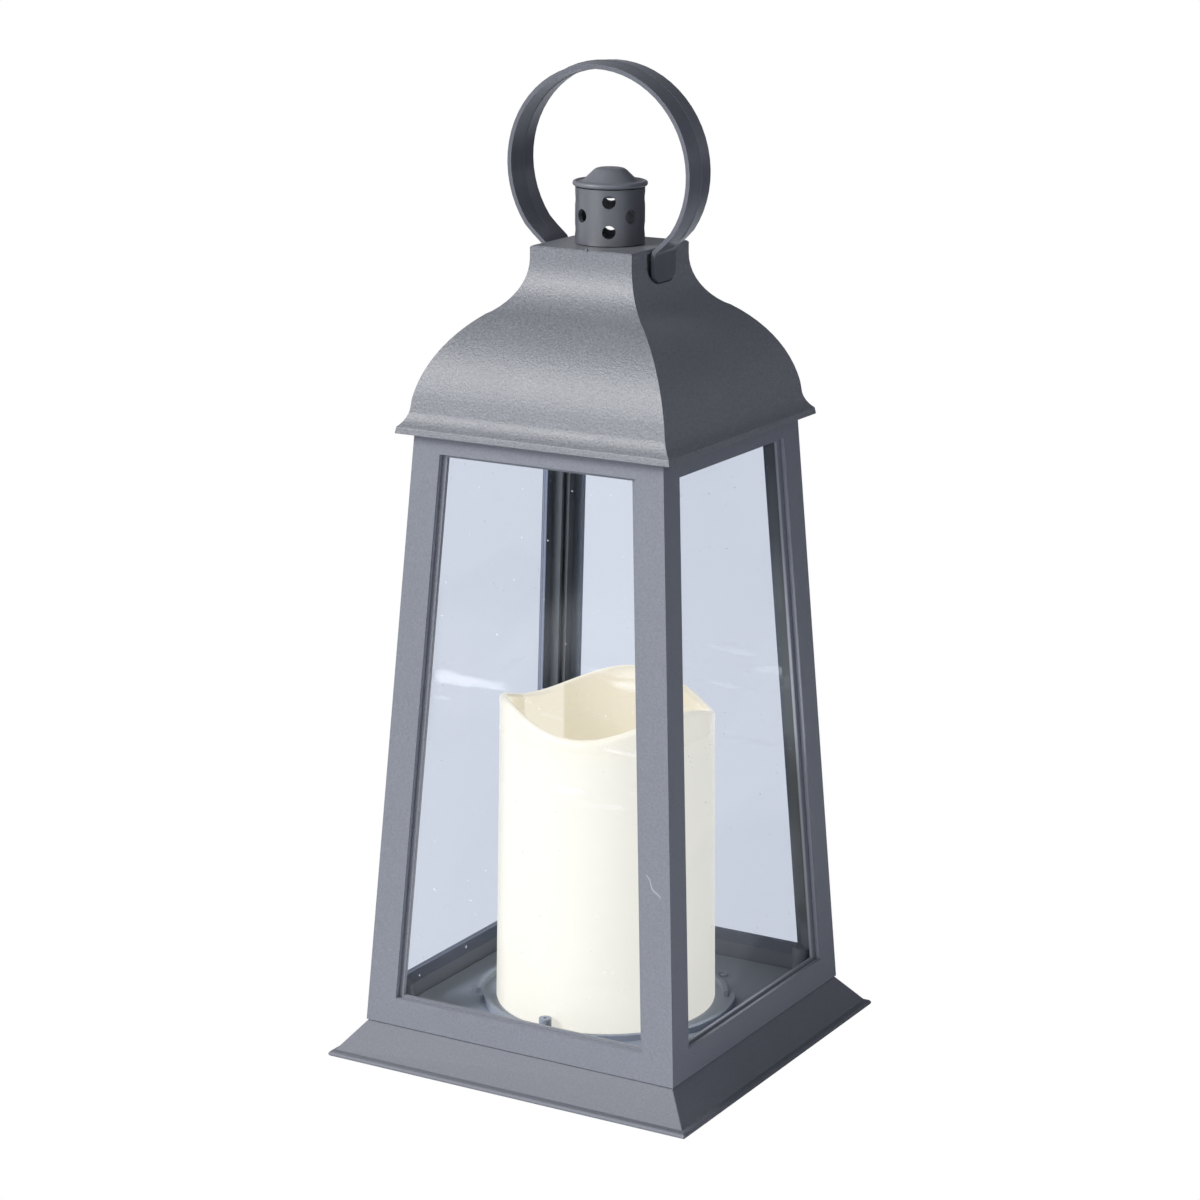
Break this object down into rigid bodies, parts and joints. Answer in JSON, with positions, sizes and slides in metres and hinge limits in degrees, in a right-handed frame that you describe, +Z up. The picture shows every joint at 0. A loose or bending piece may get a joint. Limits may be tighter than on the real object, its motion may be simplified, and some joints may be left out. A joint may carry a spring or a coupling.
{
  "type": "candle_lantern",
  "caption": "Grey moulded square lantern with clear windows, belled roof, vented chimney, ring handle and a battery candle inside.",
  "frame": {"origin": "centre of the base's underside", "axes": "+Z up through the chimney; +X towards the right window, across the ring handle; -Y towards the front window"},
  "size_m": [0.138, 0.138, 0.3345],
  "materials": {
    "base_grey": "fine spark-eroded grain",
    "frame_grey": "fine spark-eroded grain",
    "roof_grey": "fine spark-eroded grain, satin",
    "handle_grey": "satin",
    "clear_pane": "polished clear plastic",
    "ivory_shell": "satin ivory, glossy inside",
    "flame_diffuser": "translucent amber",
    "lamp_amber": "clear amber",
    "board_green": "solder mask",
    "white_moulding": "plain moulding",
    "cell_jacket": "plain shrink sleeve",
    "nickel": "nickel plate",
    "black_moulding": "plain moulding",
    "red_lead": "wire insulation",
    "black_lead": "wire insulation",
    "zinc_screw": "zinc plate"
  },
  "bodies": {
    "lantern": {"base_skirt": "base_grey", "body_frame": "frame_grey", "pane_front": "clear_pane", "pane_right": "clear_pane", "pane_back": "clear_pane", "pane_left": "clear_pane", "roof": "roof_grey", "chimney_tube": "roof_grey", "chimney_cap": "roof_grey", "candle_shell": "ivory_shell", "candle_well": "ivory_shell", "flame_tip": "flame_diffuser", "led_lamp": "lamp_amber", "led_board": "board_green", "battery_tray": "white_moulding", "battery_cell_1": "cell_jacket", "battery_cell_2": "cell_jacket", "battery_cell_3": "cell_jacket", "contact_plate_1": "nickel", "contact_plate_2": "nickel", "contact_plate_3": "nickel", "contact_spring_1": "nickel", "contact_spring_2": "nickel", "contact_spring_3": "nickel", "switch_body": "black_moulding", "lead_red": "red_lead", "lead_black": "black_lead", "tray_screw_1": "zinc_screw", "tray_screw_2": "zinc_screw", "base_screw_1": "zinc_screw", "base_screw_2": "zinc_screw", "base_screw_3": "zinc_screw", "base_screw_4": "zinc_screw"},
    "handle": {"ring_handle": "handle_grey"},
    "knob": {"switch_knob": "black_moulding"},
    "door": {"battery_door": "white_moulding"}
  },
  "joints": [
    {"name": "handle_rock", "type": "hinge", "parent": "lantern", "child": "handle", "pos_m": [0, 0, 0.266], "axis": [1, 0, 0], "range_deg": [-10.5, 5.5]},
    {"name": "switch_slide", "type": "slide", "parent": "lantern", "child": "knob", "axis": [1, 0, 0], "range_m": [0, 0.004]},
    {"name": "door_slide", "type": "slide", "parent": "lantern", "child": "door", "axis": [1, 0, 0], "range_m": [0, 0.012]}
  ]
}
